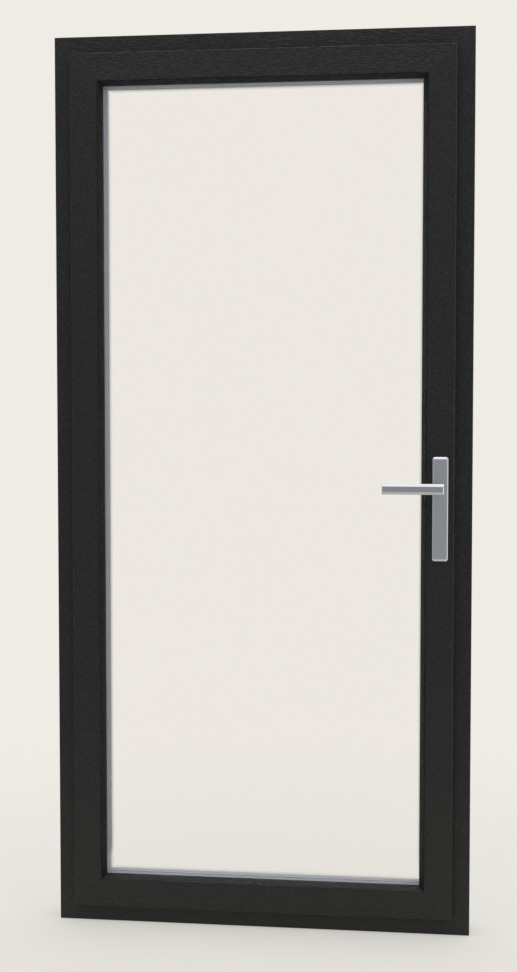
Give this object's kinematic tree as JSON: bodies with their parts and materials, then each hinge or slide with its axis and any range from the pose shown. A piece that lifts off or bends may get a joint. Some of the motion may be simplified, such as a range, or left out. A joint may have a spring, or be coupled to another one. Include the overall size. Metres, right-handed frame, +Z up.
{
  "type": "glass door",
  "caption": "Side-hung, inward-opening glass door: dark framed leaf with sealed triple glazing in its own outer frame, turned and locked by a silver lever handle.",
  "frame": {"origin": "middle of the sill's underside, on the outer frame's mid depth", "axes": "+X from the hinge side to the lock side, +Y from the room to the outside, +Z up"},
  "size_m": [0.98, 0.161, 2.1],
  "materials": {
    "dark_foil": "near-black wood-grain foil over white plastic profile, satin",
    "black_rubber": "matt extruded rubber",
    "edge_sealant": "matt sealant",
    "clear_glass": "clear, smooth",
    "grey_spacer": "warm-edge spacer, satin grey",
    "blue_packer": "moulded plastic",
    "white_nylon": "nylon",
    "satin_silver": "silver anodised, satin",
    "grey_plastic": "moulded plastic",
    "galvanised_steel": "galvanised",
    "dark_steel": "blackened steel",
    "sintered_steel": "sintered steel",
    "zinc_hardware": "zinc-plated steel, silver passivated"
  },
  "bodies": {
    "frame": {"frame_head": "dark_foil", "frame_sill": "dark_foil", "frame_hinge_jamb": "dark_foil", "frame_lock_jamb": "dark_foil", "head_steel": "galvanised_steel", "sill_steel": "galvanised_steel", "hinge_jamb_steel": "galvanised_steel", "lock_jamb_steel": "galvanised_steel", "frame_gasket": "black_rubber", "lower_keep": "zinc_hardware", "middle_keep": "zinc_hardware", "upper_keep": "zinc_hardware", "lower_hinge_bracket": "zinc_hardware", "upper_hinge_bracket": "zinc_hardware", "lower_hinge_pin": "zinc_hardware", "upper_hinge_pin": "zinc_hardware", "hinge_washers": "white_nylon", "frame_screws": "zinc_hardware", "drain_caps": "dark_foil"},
    "leaf": {"sash_top_rail": "dark_foil", "sash_bottom_rail": "dark_foil", "sash_hinge_stile": "dark_foil", "sash_lock_stile": "dark_foil", "top_rail_steel": "galvanised_steel", "bottom_rail_steel": "galvanised_steel", "hinge_stile_steel": "galvanised_steel", "lock_stile_steel": "galvanised_steel", "sash_gasket": "black_rubber", "top_bead": "dark_foil", "bottom_bead": "dark_foil", "hinge_bead": "dark_foil", "lock_bead": "dark_foil", "bead_gasket": "black_rubber", "outer_glazing_gasket": "black_rubber", "inner_pane": "clear_glass", "middle_pane": "clear_glass", "outer_pane": "clear_glass", "inner_spacer": "grey_spacer", "outer_spacer": "grey_spacer", "edge_seal": "edge_sealant", "setting_blocks": "blue_packer", "lower_hinge_block": "zinc_hardware", "upper_hinge_block": "zinc_hardware", "leaf_screws": "zinc_hardware", "faceplate": "zinc_hardware", "gear_case": "zinc_hardware", "gear_cover": "zinc_hardware", "gear_screws": "zinc_hardware", "backplate_base": "grey_plastic", "backplate_cover": "satin_silver", "backplate_bolts": "zinc_hardware", "lever_bush": "white_nylon"},
    "handle": {"inner_lever": "satin_silver", "spindle": "zinc_hardware", "pinion": "sintered_steel", "grub_screw": "dark_steel"},
    "rod": {"drive_rod": "zinc_hardware", "locking_rollers": "zinc_hardware"}
  },
  "joints": [
    {"name": "leaf_swing", "type": "hinge", "parent": "frame", "child": "leaf", "pos_m": [-0.441, -0.053, 0.07], "axis": [0, 0, -1], "range_deg": [0, 95]},
    {"name": "handle_turn", "type": "hinge", "parent": "leaf", "child": "handle", "pos_m": [0.417, -0.026, 1.05], "axis": [0, -1, 0], "range_deg": [0, 90]},
    {"name": "rod_slide", "type": "slide", "parent": "leaf", "child": "rod", "axis": [0, 0, 1], "range_m": [0, 0.0118]}
  ],
  "couplings": [
    {"joint": "rod_slide", "follows": "handle_turn", "m_per_rad": 0.0075}
  ]
}
